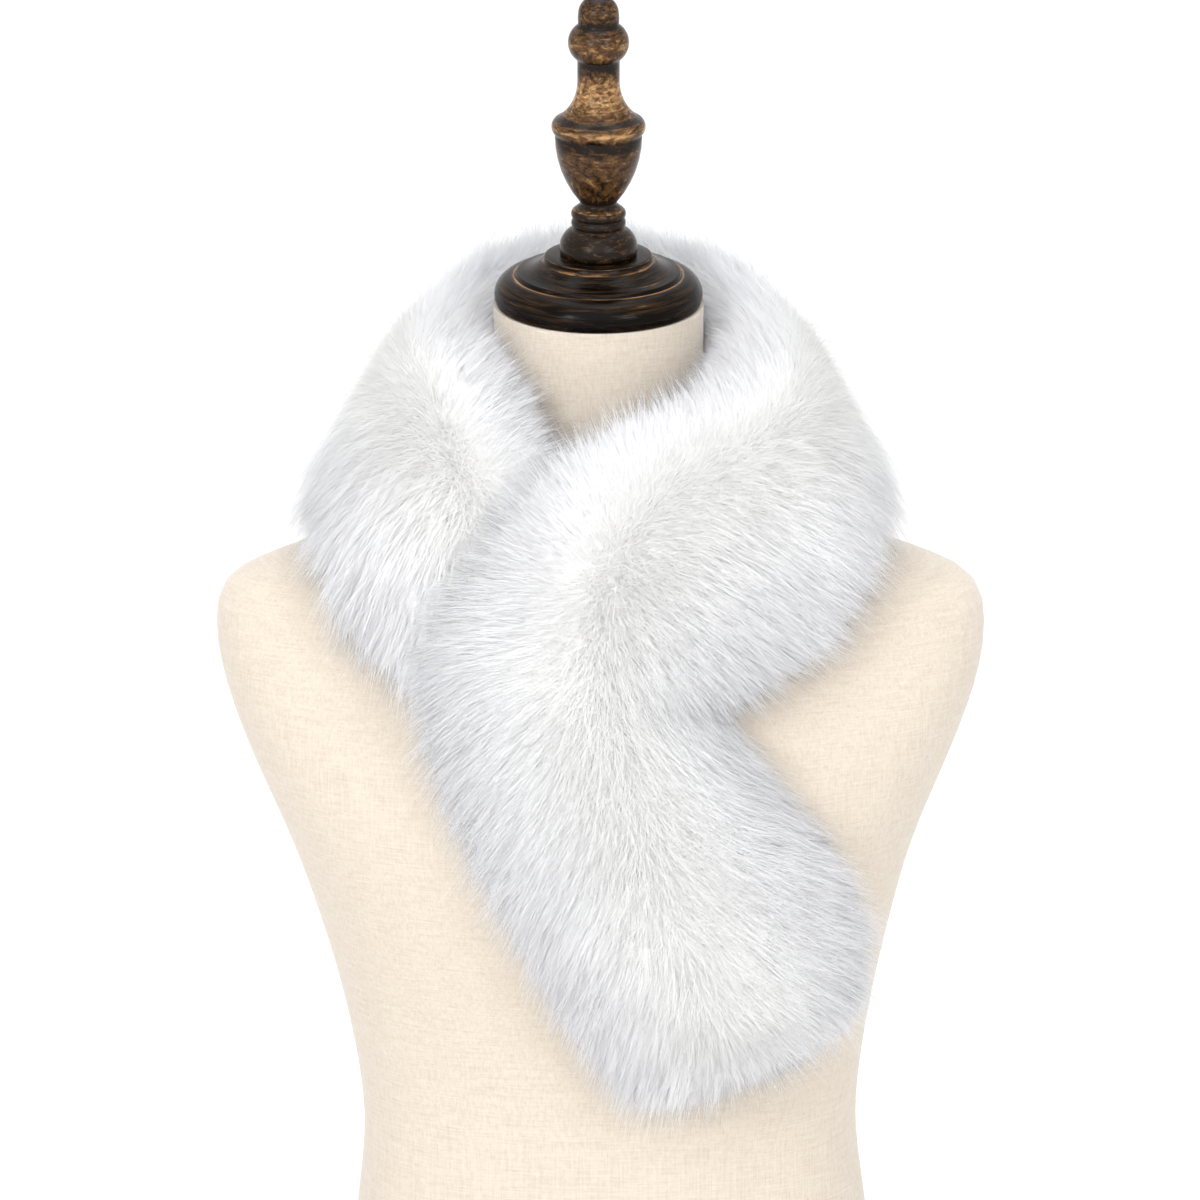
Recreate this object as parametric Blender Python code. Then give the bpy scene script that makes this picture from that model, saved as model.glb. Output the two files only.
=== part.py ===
# Fur collar wrap lying crossed on a limbless dress form.
# Millimetres in the tables, metres in Blender. X runs to the viewer's right, the front faces -Y, +Z is up.
# The origin lies on the form's flat base, straight below the middle of the neck.
import math
from collections import namedtuple

import bmesh
import bpy
import numpy as np
from mathutils import Matrix, Vector
from mathutils.bvhtree import BVHTree

MM = 0.001
SEAM_GAP = 0.3          # between pieces that meet face to face
REST_GAP = 0.9          # between the strip's corners and the form, so that its flat facets stay clear too
CROSSING_GAP = 1.8      # the same where the strip lies on its own first end, which is more sharply curved

# The form: torso and neck in one skin, read from the base up.
NECK_TOP = Vector((0.0, -2.0, 598.0))
NECK_TILT = 8.5         # degrees that the neck leans to the front
FORM_SIDES = 40
FORM_RINGS = 34
FormRow = namedtuple("FormRow", "height half_width front back shift squareness tilt")
FORM_ROWS = (
    (0.0, 150.0, 104.0, 112.0, 7.0, 2.3, 0.0),
    (58.0, 142.0, 98.0, 104.0, 7.0, 2.3, 0.0),
    (116.0, 134.6, 93.0, 94.0, 6.9, 2.3, 0.0),
    (165.0, 129.7, 92.0, 84.0, 6.1, 2.3, 0.0),
    (225.0, 136.6, 101.0, 83.0, 5.0, 2.3, 0.0),
    (280.0, 149.2, 117.0, 88.0, 3.4, 2.3, 0.0),
    (323.0, 162.4, 126.0, 94.0, 1.8, 2.3, 0.0),
    (355.0, 176.2, 124.0, 98.0, 1.2, 2.3, 0.0),
    (388.0, 190.2, 114.0, 100.0, 1.2, 2.3, 0.0),
    (414.0, 197.7, 101.0, 98.0, 1.2, 2.3, 0.0),
    (430.0, 199.6, 92.0, 95.0, 1.0, 2.3, 0.0),
    (441.0, 199.2, 86.0, 92.0, 1.0, 2.3, 0.0),
    (452.0, 194.5, 79.0, 87.0, 1.0, 2.3, 0.0),
    (462.0, 177.0, 73.0, 82.0, 0.6, 2.2, 0.0),
    (468.0, 161.0, 70.0, 79.0, 0.4, 2.2, 0.0),
    (480.0, 127.0, 64.0, 74.0, 0.0, 2.1, 0.0),
    (494.0, 93.0, 57.0, 70.0, 0.0, 2.0, 1.0),
    (508.0, 70.0, 51.0, 67.0, 0.0, 2.0, 4.0),
    (522.0, 59.0, 48.0, 64.0, 0.0, 2.0, 7.0),
    (540.0, 55.5, 48.5, 61.5, 0.0, 2.0, 8.5),
    (570.0, 54.2, 51.9, 56.5, 0.0, 2.0, 8.5),
    (598.0, 54.0, 56.0, 52.0, 0.0, 2.0, 8.5),
)

# Turned wood. Each row is a point on the outline and the bulge of the arc that leads from it to the next.
TURN_STEPS = 30
ARC_TURN = 22.0         # degrees of a turned arc that one chord may span
TurnRow = namedtuple("TurnRow", "radius height bulge")
CAP_ROWS = (
    (52.6, 0.0, 4.6),
    (43.6, 15.0, 0.0),
    (42.7, 14.7, 0.0),
    (42.4, 16.2, 0.2),
    (41.2, 16.9, -0.9),
    (29.6, 21.8, 0.0),
    (28.2, 22.2, 0.0),
    (28.0, 24.6, 0.2),
    (26.8, 25.6, 0.0),
    (20.6, 26.0, 0.0),
)
FINIAL_ROWS = (
    (19.6, 0.0, 2.6),
    (13.9, 13.4, 0.0),
    (12.9, 14.1, 1.1),
    (12.9, 18.8, 1.3),
    (12.6, 24.0, 0.0),
    (9.8, 26.2, -0.3),
    (9.9, 28.2, 3.2),
    (22.3, 62.6, 0.0),
    (21.9, 63.4, 2.1),
    (22.0, 71.4, 0.0),
    (20.6, 72.0, -2.6),
    (10.8, 91.0, -0.1),
    (10.8, 101.6, 0.0),
    (11.2, 102.8, 4.6),
    (10.7, 120.6, 0.0),
    (10.4, 121.2, 0.2),
    (10.3, 127.6, 2.7),
)
FINIAL_HEIGHT = 136.0

# The fur strip, from its hidden end under the crossing, over the viewer's left shoulder, behind the neck,
# over the right shoulder, down across the first end, round the elbow and to the hanging end. Each row has
# the strip's upper edge (the neck's side) and lower edge, then, measured outwards from the line between
# them: the arch of the strip's middle, the pile's crown above it and the pile's sole below it. The ridge is
# where the crown is highest, -1 at the upper edge and 1 at the lower. The pinch sinks the lower side.
StripRow = namedtuple("StripRow", "ux uy uz lx ly lz arch crown sole ridge pinch")
STRIP_ROWS = {
    "hidden_end": (28, -86, 460, -42, -124, 384, 5, 11, 14, 0.0, 0),
    "under_crossing": (1, -72, 503, -84, -112, 405, 8, 19, 22, -0.2, 0),
    "left_crossing": (-19, -68, 538, -113, -98, 421, 8, 25, 27, -0.4, 0),
    "left_chest": (-33, -60, 555, -134, -80, 445, 6, 28, 29, -0.45, 0),
    "left_front": (-50, -40, 578, -146, -42, 475, 4, 28, 30, -0.5, 0),
    "left_side": (-65, 4, 592, -145, 6, 481, 2, 27, 30, -0.45, 0),
    "left_back": (-54, 54, 611, -108, 78, 481, 2, 29, 28, -0.35, 0),
    "back": (0, 81, 621, 0, 104, 482, 2, 30, 25, -0.3, 0),
    "right_back": (58, 54, 611, 108, 78, 481, 2, 29, 26, -0.35, 0),
    "right_side": (71, 4, 592, 145, 4, 481, 2, 27, 28, -0.45, 0),
    "right_front": (68, -40, 577, 145, -40, 476, 4, 28, 29, -0.5, 0),
    "right_chest": (50, -66, 565, 135, -74, 456, 5, 30, 30, -0.55, 0),
    "right_low": (21, -80, 558, 117, -92, 434, 7, 30, 28, -0.55, 0),
    "right_crossing": (-13, -100, 544, 95, -106, 421, 12, 30, 24, -0.45, 0),
    "over_crossing": (-46, -120, 518, 78, -114, 413, 16, 30, 22, -0.33, 2),
    "elbow_in": (-69, -121, 481, 72, -115, 409, 22, 30, 20, -0.1, 6),
    "elbow": (-97, -118, 444, 70, -114, 404, 29, 29, 18, 0.1, 10),
    "elbow_out": (-93, -122, 400, 74, -117, 397, 29, 29, 22, 0.2, 6),
    "tail_top": (-80, -126, 362, 88, -121, 379, 27, 29, 25, 0.15, 1),
    "tail_middle": (-59, -130, 318, 109, -117, 352, 25, 28, 25, 0.04, 0),
    "tail_low": (-34, -124, 272, 128, -104, 324, 27, 28, 25, -0.1, 0),
    "tail_end": (-13, -114, 232, 140, -92, 293, 28, 26, 24, -0.16, 0),
    "hanging_end": (6, -110, 208, 139, -88, 264, 25, 22, 20, -0.18, 0),
}
CROWN_POWER = 2.2
SOLE_POWER = 2.8
CROWN_POINTS = 15
SOLE_POINTS = 13
STATION_STEP = 13.0     # along the strip's middle
LIFT = 90.0             # more than the strip is thick
FORM_SPREAD = 5.0       # how far round a point the strip feels for the form under it
CROSSING_SPREAD = 9.0   # and for its own first end
END_ROUND = 24.0        # how far a rounded end reaches past its last row
END_ANGLES = (25.0, 45.0, 62.0, 76.0)
END_CORNER_POWER = 2.7  # higher is squarer in the strip's plane

LINEN = ("linen", (0.78, 0.72, 0.62), 0.85)
WOOD = ("stained_wood", (0.10, 0.065, 0.045), 0.38)
FUR = ("white_fur", (0.93, 0.93, 0.95), 0.9)


for item in list(bpy.data.objects):
    bpy.data.objects.remove(item, do_unlink=True)


def make_material(name, colour, roughness):
    material = bpy.data.materials.new(name)
    material.use_nodes = True
    shader = material.node_tree.nodes["Principled BSDF"]
    shader.inputs["Base Color"].default_value = (*colour, 1.0)
    shader.inputs["Roughness"].default_value = roughness
    shader.inputs["Metallic"].default_value = 0.0
    return material


def add_object(name, bm, finish):
    bmesh.ops.recalc_face_normals(bm, faces=bm.faces)
    mesh = bpy.data.meshes.new(name)
    bm.to_mesh(mesh)
    bm.free()
    mesh.shade_smooth()
    mesh.set_sharp_from_angle(angle=math.radians(35))
    mesh.materials.append(make_material(name + "_" + finish[0], *finish[1:]))
    thing = bpy.data.objects.new(name, mesh)
    bpy.context.scene.collection.objects.link(thing)
    return thing


def smooth_rows(rows, knots, places):
    """The table's columns at the given places, along smooth curves that pass through every row."""
    rows = np.array(rows, dtype=float)
    spans = np.diff(knots)[:, None]
    slopes = np.diff(rows, axis=0) / spans
    inner = (slopes[:-1] * spans[1:] + slopes[1:] * spans[:-1]) / (spans[1:] + spans[:-1])
    tangents = np.vstack([slopes[:1], inner, slopes[-1:]])
    spots = np.clip(np.searchsorted(knots, places, side="right") - 1, 0, len(rows) - 2)
    span = spans[spots]
    t = ((np.asarray(places) - knots[spots])[:, None]) / span
    return ((2 * t**3 - 3 * t**2 + 1) * rows[spots] + (t**3 - 2 * t**2 + t) * span * tangents[spots]
            + (3 * t**2 - 2 * t**3) * rows[spots + 1] + (t**3 - t**2) * span * tangents[spots + 1])


def loft(rings, tips):
    """A closed skin through rings of equal count. Each end is a fan to its tip point, or one flat face."""
    bm = bmesh.new()
    loops = [[bm.verts.new(point * MM) for point in ring] for ring in rings]
    count = len(rings[0])
    for lower, upper in zip(loops, loops[1:]):
        for i in range(count):
            j = (i + 1) % count
            bm.faces.new((lower[i], lower[j], upper[j], upper[i]))
    for loop, tip in zip((loops[0], loops[-1]), tips):
        if tip is None:
            bm.faces.new(loop)
            continue
        middle = bm.verts.new(tip * MM)
        for i in range(count):
            bm.faces.new((loop[i], loop[(i + 1) % count], middle))
    return bm


def build_form():
    """Torso and neck: superellipse rings from the flat base to the leaning neck's flat top."""
    knots = np.array([row[0] for row in FORM_ROWS])
    # Rings close up where the shoulders turn in, so they are spread by the outline's length.
    sides = [math.dist(a[:2], b[:2]) for a, b in zip(FORM_ROWS, FORM_ROWS[1:])]
    outline = np.concatenate([[0.0], np.cumsum(sides)])
    places = np.interp(np.linspace(0, outline[-1], FORM_RINGS), outline, knots)
    rings = []
    for row in [FormRow(*values) for values in smooth_rows(FORM_ROWS, knots, places)]:
        tilt = math.radians(row.tilt)
        middle = (row.back - row.front) / 2
        depth = (row.back + row.front) / 2
        ring = []
        for i in range(FORM_SIDES):
            angle = 2 * math.pi * i / FORM_SIDES
            along, across = math.cos(angle), math.sin(angle)
            x = math.copysign(abs(along) ** (2 / row.squareness), along) * row.half_width
            y = math.copysign(abs(across) ** (2 / row.squareness), across) * depth
            ring.append(Vector((row.shift + x, middle + y * math.cos(tilt), row.height + y * math.sin(tilt))))
        rings.append(ring)
    return add_object("form_body", loft(rings, (None, None)), LINEN)


def outline_points(rows, closing_height):
    """Radius and height along an outline of arcs, starting and ending on the axis."""
    turns = [TurnRow(*row) for row in rows] + [TurnRow(0.0, closing_height, 0.0)]
    points = [(0.0, turns[0].height)]
    for row, after in zip(turns, turns[1:]):
        points.append((row.radius, row.height))
        if not row.bulge:
            continue
        outward, upward = after.radius - row.radius, after.height - row.height
        half_turn = 2 * math.atan(2 * row.bulge / math.hypot(outward, upward))
        steps = max(2, round(2 * math.degrees(abs(half_turn)) / ARC_TURN))
        for i in range(1, steps):
            angle = half_turn * (2 * i / steps - 1)
            along = (1 + math.sin(angle) / math.sin(half_turn)) / 2
            lift = (math.cos(angle) - math.cos(half_turn)) / (2 * math.sin(half_turn))
            points.append((row.radius + outward * along + upward * lift,
                           row.height + upward * along - outward * lift))
    return points + [(0.0, closing_height)]


def turn(name, rows, closing_height, lift):
    """A turned piece on the neck's leaning axis, its foot that far above the neck's top."""
    bm = bmesh.new()
    points = [bm.verts.new((r * MM, 0.0, h * MM)) for r, h in outline_points(rows, closing_height)]
    edges = [bm.edges.new(pair) for pair in zip(points, points[1:])]
    bmesh.ops.spin(bm, geom=points + edges, axis=(0, 0, 1), cent=(0, 0, 0), angle=2 * math.pi, steps=TURN_STEPS,
                   use_merge=True)
    bmesh.ops.remove_doubles(bm, verts=bm.verts, dist=1e-6)
    thing = add_object(name, bm, WOOD)
    tilt = Matrix.Rotation(math.radians(NECK_TILT), 4, "X")
    thing.location = (NECK_TOP + tilt @ Vector((0, 0, lift))) * MM
    thing.rotation_euler = tilt.to_euler()
    return thing


def surface_tree(thing):
    return BVHTree.FromPolygons([thing.matrix_world @ v.co for v in thing.data.vertices],
                                [p.vertices for p in thing.data.polygons])


def strip_sections(first, last):
    """The strip's sections from one row to another, evenly spaced along its middle."""
    rows = np.array(list(STRIP_ROWS.values()), dtype=float)
    middles = (rows[:, 0:3] + rows[:, 3:6]) / 2
    knots = np.concatenate([[0.0], np.cumsum(np.linalg.norm(np.diff(middles, axis=0), axis=1))])
    place = dict(zip(STRIP_ROWS, knots))
    stops = np.linspace(place[first], place[last], round((place[last] - place[first]) / STATION_STEP) + 1)
    ahead = smooth_rows(rows, knots, np.minimum(stops + 1, knots[-1]))
    behind = smooth_rows(rows, knots, np.maximum(stops - 1, 0))
    steps = (ahead - behind)[:, 0:3] + (ahead - behind)[:, 3:6]
    return [Section(StripRow(*values), Vector(step).normalized())
            for values, step in zip(smooth_rows(rows, knots, stops), steps)]


class Section:
    """One closed section across the strip, with its middle and its three directions."""

    def __init__(self, row, along):
        upper, lower = Vector((row.ux, row.uy, row.uz)), Vector((row.lx, row.ly, row.lz))
        self.middle = (upper + lower) / 2
        self.half = (lower - upper) / 2
        self.along = along
        self.out = along.cross(self.half).normalized()
        crown = [-math.cos(math.pi * i / (CROWN_POINTS - 1)) for i in range(CROWN_POINTS)]
        sole = [math.cos(math.pi * i / (SOLE_POINTS + 1)) for i in range(1, SOLE_POINTS + 1)]
        self.points = [self.point(u, self.crown_height(row, u)) for u in crown]
        self.points += [self.point(u, self.sole_height(row, u)) for u in sole]
        self.keel = sum(self.out.dot(point - self.middle) for point in self.points) / len(self.points)

    def point(self, u, height):
        return self.middle + self.half * u + self.out * height

    @staticmethod
    def crown_height(row, u):
        side = 1 + row.ridge if u < row.ridge else 1 - row.ridge
        slope = 1 - min(1.0, abs(u - row.ridge) / side) ** CROWN_POWER
        pinched = row.pinch * max(0.0, u) ** 2 * slope**0.25
        return row.arch * (1 - u * u) + row.crown * slope ** (1 / CROWN_POWER) - pinched

    @staticmethod
    def sole_height(row, u):
        return row.arch * (1 - u * u) - row.sole * (1 - abs(u) ** SOLE_POWER) ** (1 / SOLE_POWER)

    def rounded(self, way):
        """Rings that close the strip's end here: squarish in its plane, round through its thickness."""
        across = self.half.normalized()
        rings = []
        for angle in END_ANGLES:
            reach, thin = math.sin(math.radians(angle)), math.cos(math.radians(angle))
            narrow = (1 - reach**END_CORNER_POWER) ** (1 / END_CORNER_POWER)
            centre = self.middle + self.along * way * END_ROUND * reach + self.out * self.keel
            offsets = [point - self.middle for point in self.points]
            rings.append([centre + across * across.dot(offset) * narrow
                          + self.out * (self.out.dot(offset) - self.keel) * thin for offset in offsets])
        return rings + [[self.middle + self.along * way * END_ROUND + self.out * self.keel]]

    def seam(self):
        """The flat face where the strip is parted here."""
        return [[self.middle + self.out * self.keel]]

    def lay_on(self, ring, tree, spread, gap):
        """Lifts each point outwards onto a solid under it, felt for all round it, then off it by the gap."""
        aside = self.out.cross(self.along)
        feelers = [(self.along * a + aside * b) * spread for a in (-1, 0, 1) for b in (-1, 0, 1)]
        for i, point in enumerate(ring):
            rise = 0.0
            for feeler in feelers:
                start = point + feeler + self.out * LIFT
                place = tree.ray_cast(start * MM, -self.out, LIFT * MM)[0]
                if place is not None:
                    rise = max(rise, LIFT - (place / MM - start).length)
            point = point + self.out * rise
            place, normal, _, distance = tree.find_nearest(point * MM)
            ring[i] = (place + normal * gap * MM) / MM if distance < gap * MM else point

    def part(self, rings, way):
        """Draws an end back from its seam's plane by half the seam's gap."""
        shift = self.half.cross(self.out).normalized() * way * SEAM_GAP / 2
        for ring in rings:
            ring[:] = [point + shift for point in ring]


def build_stretch(name, first, last, rests_on, round_first=False, round_last=False):
    """One stretch of the strip, from row to row, clear of the solids it rests on."""
    sections = strip_sections(first, last)
    start, finish = sections[0], sections[-1]
    before = start.rounded(-1)[::-1] if round_first else start.seam()
    after = finish.rounded(1) if round_last else finish.seam()
    rings = before + [section.points for section in sections] + after
    owners = [start] * len(before) + sections + [finish] * len(after)
    for thing, spread, gap in rests_on:
        tree = surface_tree(thing)
        for owner, ring in zip(owners, rings):
            owner.lay_on(ring, tree, spread, gap)
    if not round_first:
        start.part(rings[:2], 1)
    if not round_last:
        finish.part(rings[-2:], -1)
    return add_object(name, loft(rings[1:-1], (rings[0][0], rings[-1][0])), FUR)


form = build_form()
turn("neck_cap", CAP_ROWS, CAP_ROWS[-1][1], SEAM_GAP)
turn("finial", FINIAL_ROWS, FINIAL_HEIGHT, CAP_ROWS[-1][1] + 2 * SEAM_GAP)
on_form = (form, FORM_SPREAD, REST_GAP)
left_front = build_stretch("wrap_left_front", "hidden_end", "left_side", [on_form], round_first=True)
on_first_end = (left_front, CROSSING_SPREAD, CROSSING_GAP)
build_stretch("wrap_back", "left_side", "right_side", [on_form])
build_stretch("wrap_right_front", "right_side", "elbow", [on_form, on_first_end])
build_stretch("wrap_tail", "elbow", "hanging_end", [on_form, on_first_end], round_last=True)
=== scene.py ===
import math

import bmesh
import bpy
import numpy as np
from mathutils import Matrix, Vector
from mathutils.bvhtree import BVHTree


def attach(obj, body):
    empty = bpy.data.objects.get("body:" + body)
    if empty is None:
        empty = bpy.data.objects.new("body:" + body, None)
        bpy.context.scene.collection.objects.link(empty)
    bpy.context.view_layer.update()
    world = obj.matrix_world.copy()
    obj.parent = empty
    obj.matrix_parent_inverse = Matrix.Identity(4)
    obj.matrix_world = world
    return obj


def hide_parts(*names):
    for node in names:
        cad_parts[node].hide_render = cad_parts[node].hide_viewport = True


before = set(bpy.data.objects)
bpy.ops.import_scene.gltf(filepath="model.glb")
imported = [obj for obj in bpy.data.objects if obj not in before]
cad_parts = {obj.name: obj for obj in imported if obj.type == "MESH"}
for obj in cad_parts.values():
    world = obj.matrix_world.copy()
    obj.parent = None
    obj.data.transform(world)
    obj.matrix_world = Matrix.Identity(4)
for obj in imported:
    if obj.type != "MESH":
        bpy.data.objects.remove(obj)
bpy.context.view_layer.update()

scene = bpy.context.scene

# The camera stands in front and a little above, as it did for the photograph: it looks 12 degrees down from
# 3.2 metres away, so that the cap's rim and the neck show the same ellipses.
LOOK_AT = Vector((0.0, 0.0, 0.441))
LOOK_DOWN = math.radians(12.0)
CAMERA_AWAY = 3.2
camera = bpy.data.objects.new("camera", bpy.data.cameras.new("camera"))
scene.collection.objects.link(camera)
camera.data.sensor_width = 36.0
camera.data.lens = 184.6
camera.data.shift_x = 0.00125
camera.location = LOOK_AT + CAMERA_AWAY * Vector((0.0, -math.cos(LOOK_DOWN), math.sin(LOOK_DOWN)))
camera.rotation_euler = (math.radians(90.0) - LOOK_DOWN, 0.0, 0.0)
scene.camera = camera
scene.view_settings.view_transform = "Standard"
scene.cycles.diffuse_bounces = 5    # white fur passes light on from hair to hair

# The dress form is a hollow torso and neck under one tight skin of natural linen, flat at the base that it
# stands on and turned in under the wooden cap. The weave is fine, with slubs along both threads.
MM = 0.001
SAME_POINT = 1e-6           # points this close are one point
SQUARE_ON = 0.9999          # the cosine within which a face looks straight along an end
SORT_WAY = Vector((0.37, 0.61, 1.0))    # along which no two faces lie level
LEAN = math.radians(8.5)    # of the neck, and of what is turned on it
NECK_LEAN = Matrix.Rotation(LEAN, 4, "X")
BASE_TURN_IN = 4.0 * MM
NECK_TURN_IN = 1.2 * MM
LINEN_THREADS = {"warp": (1300.0, 1300.0, 40.0), "weft": (60.0, 60.0, 1600.0)}
LINEN_SHADES = ((0.38, (0.485, 0.42, 0.345)), (0.5, (0.553, 0.488, 0.41)), (0.62, (0.60, 0.537, 0.458)))


def add_node(material, kind, links=None, **settings):
    """A shader node with its settings, and its sockets linked or set."""
    node = material.node_tree.nodes.new(kind)
    for name, value in settings.items():
        setattr(node, name, value)
    for socket, value in (links or {}).items():
        if isinstance(value, bpy.types.NodeSocket):
            material.node_tree.links.new(value, node.inputs[socket])
        else:
            node.inputs[socket].default_value = value
    return node


def add_math(material, operation, first, second):
    """The result of one sum on two values or sockets."""
    return add_node(material, "ShaderNodeMath", {0: first, 1: second}, operation=operation).outputs["Value"]


def add_bump(material, height, strength, distance):
    """The normal over a relief of this height."""
    return add_node(material, "ShaderNodeBump", {"Height": height, "Strength": strength,
                                                 "Distance": distance}).outputs["Normal"]


def add_ramp(material, factor, *stops):
    """A colour ramp over (place, colour) stops."""
    ramp = add_node(material, "ShaderNodeValToRGB", {"Fac": factor})
    while len(ramp.color_ramp.elements) < len(stops):
        ramp.color_ramp.elements.new(0.5)
    for element, (place, colour) in zip(ramp.color_ramp.elements, stops):
        element.position = place
        element.color = (*colour, 1.0)
    return ramp.outputs["Color"]


def blank_material(name, **sockets):
    """A new material and its Principled shader, with these sockets set."""
    material = bpy.data.materials.new(name)
    material.use_nodes = True
    shader = material.node_tree.nodes["Principled BSDF"]
    for socket, value in sockets.items():
        shader.inputs[socket.replace("_", " ")].default_value = value
    return material, shader


def finish_material(material, shader, **sockets):
    """Links these outputs to the shader's sockets."""
    for socket, output in sockets.items():
        material.node_tree.links.new(output, shader.inputs[socket.replace("_", " ")])


def add_piece(name, mesh, material, slot, *nodes):
    """A finished piece on the part's one body, standing for these CAD nodes."""
    mesh.name = name
    if not mesh.has_custom_normals:
        mesh.shade_smooth()
    mesh.materials.append(material)
    piece = bpy.data.objects.new(name, mesh)
    scene.collection.objects.link(piece)
    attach(piece, "root")
    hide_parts(*nodes)
    return piece


def put_in_order(bm):
    """Puts the faces in one order, because some operators leave them in another each run."""
    bm.faces.sort(key=lambda face: face.calc_center_median().dot(SORT_WAY))


def from_bmesh(bm):
    """A mesh of what the bmesh holds, which is then freed."""
    put_in_order(bm)
    mesh = bpy.data.meshes.new("new")
    bm.to_mesh(mesh)
    bm.free()
    return mesh


linen, shader = blank_material("natural_linen", Roughness=0.82, Sheen_Weight=0.25, Specular_IOR_Level=0.25)
place = add_node(linen, "ShaderNodeTexCoord").outputs["Object"]
slubs = []
for thread, stretch in LINEN_THREADS.items():
    run = add_node(linen, "ShaderNodeMapping", {"Vector": place, "Scale": stretch}, name=thread)
    slubs.append(add_node(linen, "ShaderNodeTexNoise", {"Vector": run.outputs["Vector"], "Scale": 1.0, "Detail": 2.0,
                                                        "Roughness": 0.6}).outputs["Fac"])
flecks = add_node(linen, "ShaderNodeTexNoise", {"Vector": place, "Scale": 420.0, "Detail": 4.0,
                                                "Roughness": 0.7}).outputs["Fac"]
woven = add_math(linen, "ADD", add_math(linen, "ADD", *slubs), flecks)
tone = add_math(linen, "MULTIPLY", woven, 1 / 3)
finish_material(linen, shader, Base_Color=add_ramp(linen, tone, *LINEN_SHADES),
                Normal=add_bump(linen, woven, 0.25, 0.0003))

bm = bmesh.new()
bm.from_mesh(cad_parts["form_body"].data)
bmesh.ops.remove_doubles(bm, verts=bm.verts, dist=SAME_POINT)
bmesh.ops.join_triangles(bm, faces=bm.faces, angle_face_threshold=math.radians(25),
                         angle_shape_threshold=math.radians(50))
neck_axis = NECK_LEAN.to_3x3() @ Vector((0.0, 0.0, 1.0))
for way, turn_in in ((Vector((0.0, 0.0, -1.0)), BASE_TURN_IN), (neck_axis, NECK_TURN_IN)):
    flat_end = [face for face in bm.faces if face.normal.dot(way) > SQUARE_ON]
    flat_end = bmesh.ops.dissolve_faces(bm, faces=flat_end)["region"]
    bmesh.ops.bevel(bm, geom=flat_end[0].edges[:], affect="EDGES", offset=turn_in, segments=3, profile=0.5,
                    material=-1)
put_in_order(bm)
form_tree = BVHTree.FromBMesh(bm)

# Where four faces meet, the point moves out by as much as the subdivision draws it in, so the form keeps its size.
moves = []
for vert in bm.verts:
    beside = [edge.other_vert(vert) for edge in vert.link_edges]
    opposite = [other for face in vert.link_faces if len(face.verts) == 4 for other in face.verts
                if other is not vert and other not in beside]
    if len(beside) == len(opposite) == 4:
        limit = 16 * vert.co + 4 * sum((v.co for v in beside), Vector()) + sum((v.co for v in opposite), Vector())
        moves.append((vert, 2 * vert.co - limit / 36))
for vert, moved in moves:
    vert.co = moved
form_skin = add_piece("form_skin", from_bmesh(bm), linen, "linen", "form_body")
finer = form_skin.modifiers.new("finer", "SUBSURF")
finer.levels = finer.render_levels = 1

# The neck cap is a turned disc of stained wood: a round rim, a ring groove, a sloping face and a small dome's
# seat. It is screwed down on the neck, and leans forward with it.
NECK_TOP = Vector((0.0, -2.0, 598.0)) * MM
TURN_STEPS = 96
ARC_TURN = 7.0              # degrees from one point of an arc to the next
CAP_LIFT = 0.3
CAP_ROWS = (                # radius, height, and how far the outline bulges up to the next row
    (52.6, 0.0, 4.6), (43.6, 15.0, 0.0), (42.7, 14.7, 0.0), (42.4, 16.2, 0.2), (41.2, 16.9, -0.9),
    (29.6, 21.8, 0.0), (28.2, 22.2, 0.0), (28.0, 24.6, 0.2), (26.8, 25.6, 0.0), (20.6, 26.0, 0.0), (0.0, 26.0, 0.0),
)
CAP_RUBBED = (              # height, reach and amount of the wear
    (15.1, 0.22, 0.42), (22.3, 0.2, 0.38), (8.0, 3.0, 0.03), (19.0, 1.6, 0.06), (25.3, 0.2, 0.25), (12.0, 1.2, 0.05),
    (3.5, 1.2, -0.03),
)
CAP_STAIN = (0.0025, 0.0016, 0.0011), (0.030, 0.016, 0.0075), (0.38, 0.20, 0.085)
STAIN_PLACES = 0.42, 0.60, 0.86     # where the wear shows the dark stain, the brown and the golden wood


def turn(rows, lift):
    """A turned piece: arcs between (radius, height, bulge) rows, spun round the neck's leaning axis."""
    outline = [(0.0, rows[0][1])]
    for (radius, height, bulge), (next_radius, next_height, _) in zip(rows, rows[1:]):
        outline.append((radius, height))
        outward, upward = next_radius - radius, next_height - height
        half_turn = 2 * math.atan(2 * bulge / math.hypot(outward, upward))
        steps = max(1, round(2 * math.degrees(abs(half_turn)) / ARC_TURN))
        for i in range(1, steps):
            angle = half_turn * (2 * i / steps - 1)
            along = (1 + math.sin(angle) / math.sin(half_turn)) / 2
            rise = (math.cos(angle) - math.cos(half_turn)) / (2 * math.sin(half_turn))
            outline.append((radius + outward * along + upward * rise, height + upward * along - outward * rise))
    outline.append(rows[-1][:2])
    bm = bmesh.new()
    points = [bm.verts.new((r * MM, 0.0, h * MM)) for r, h in outline]
    edges = [bm.edges.new(pair) for pair in zip(points, points[1:])]
    bmesh.ops.spin(bm, geom=points + edges, axis=(0, 0, 1), cent=(0, 0, 0), angle=2 * math.pi, steps=TURN_STEPS,
                   use_merge=True)
    bmesh.ops.remove_doubles(bm, verts=bm.verts, dist=SAME_POINT)
    bmesh.ops.recalc_face_normals(bm, faces=bm.faces)
    bmesh.ops.transform(bm, matrix=Matrix.Translation(NECK_TOP) @ NECK_LEAN @ Matrix.Translation((0, 0, lift * MM)),
                        verts=bm.verts)
    return from_bmesh(bm)


def near(distance, reach):
    """1 at a place, and less with the distance from it."""
    return np.exp(-((distance / reach) ** 2))


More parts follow.
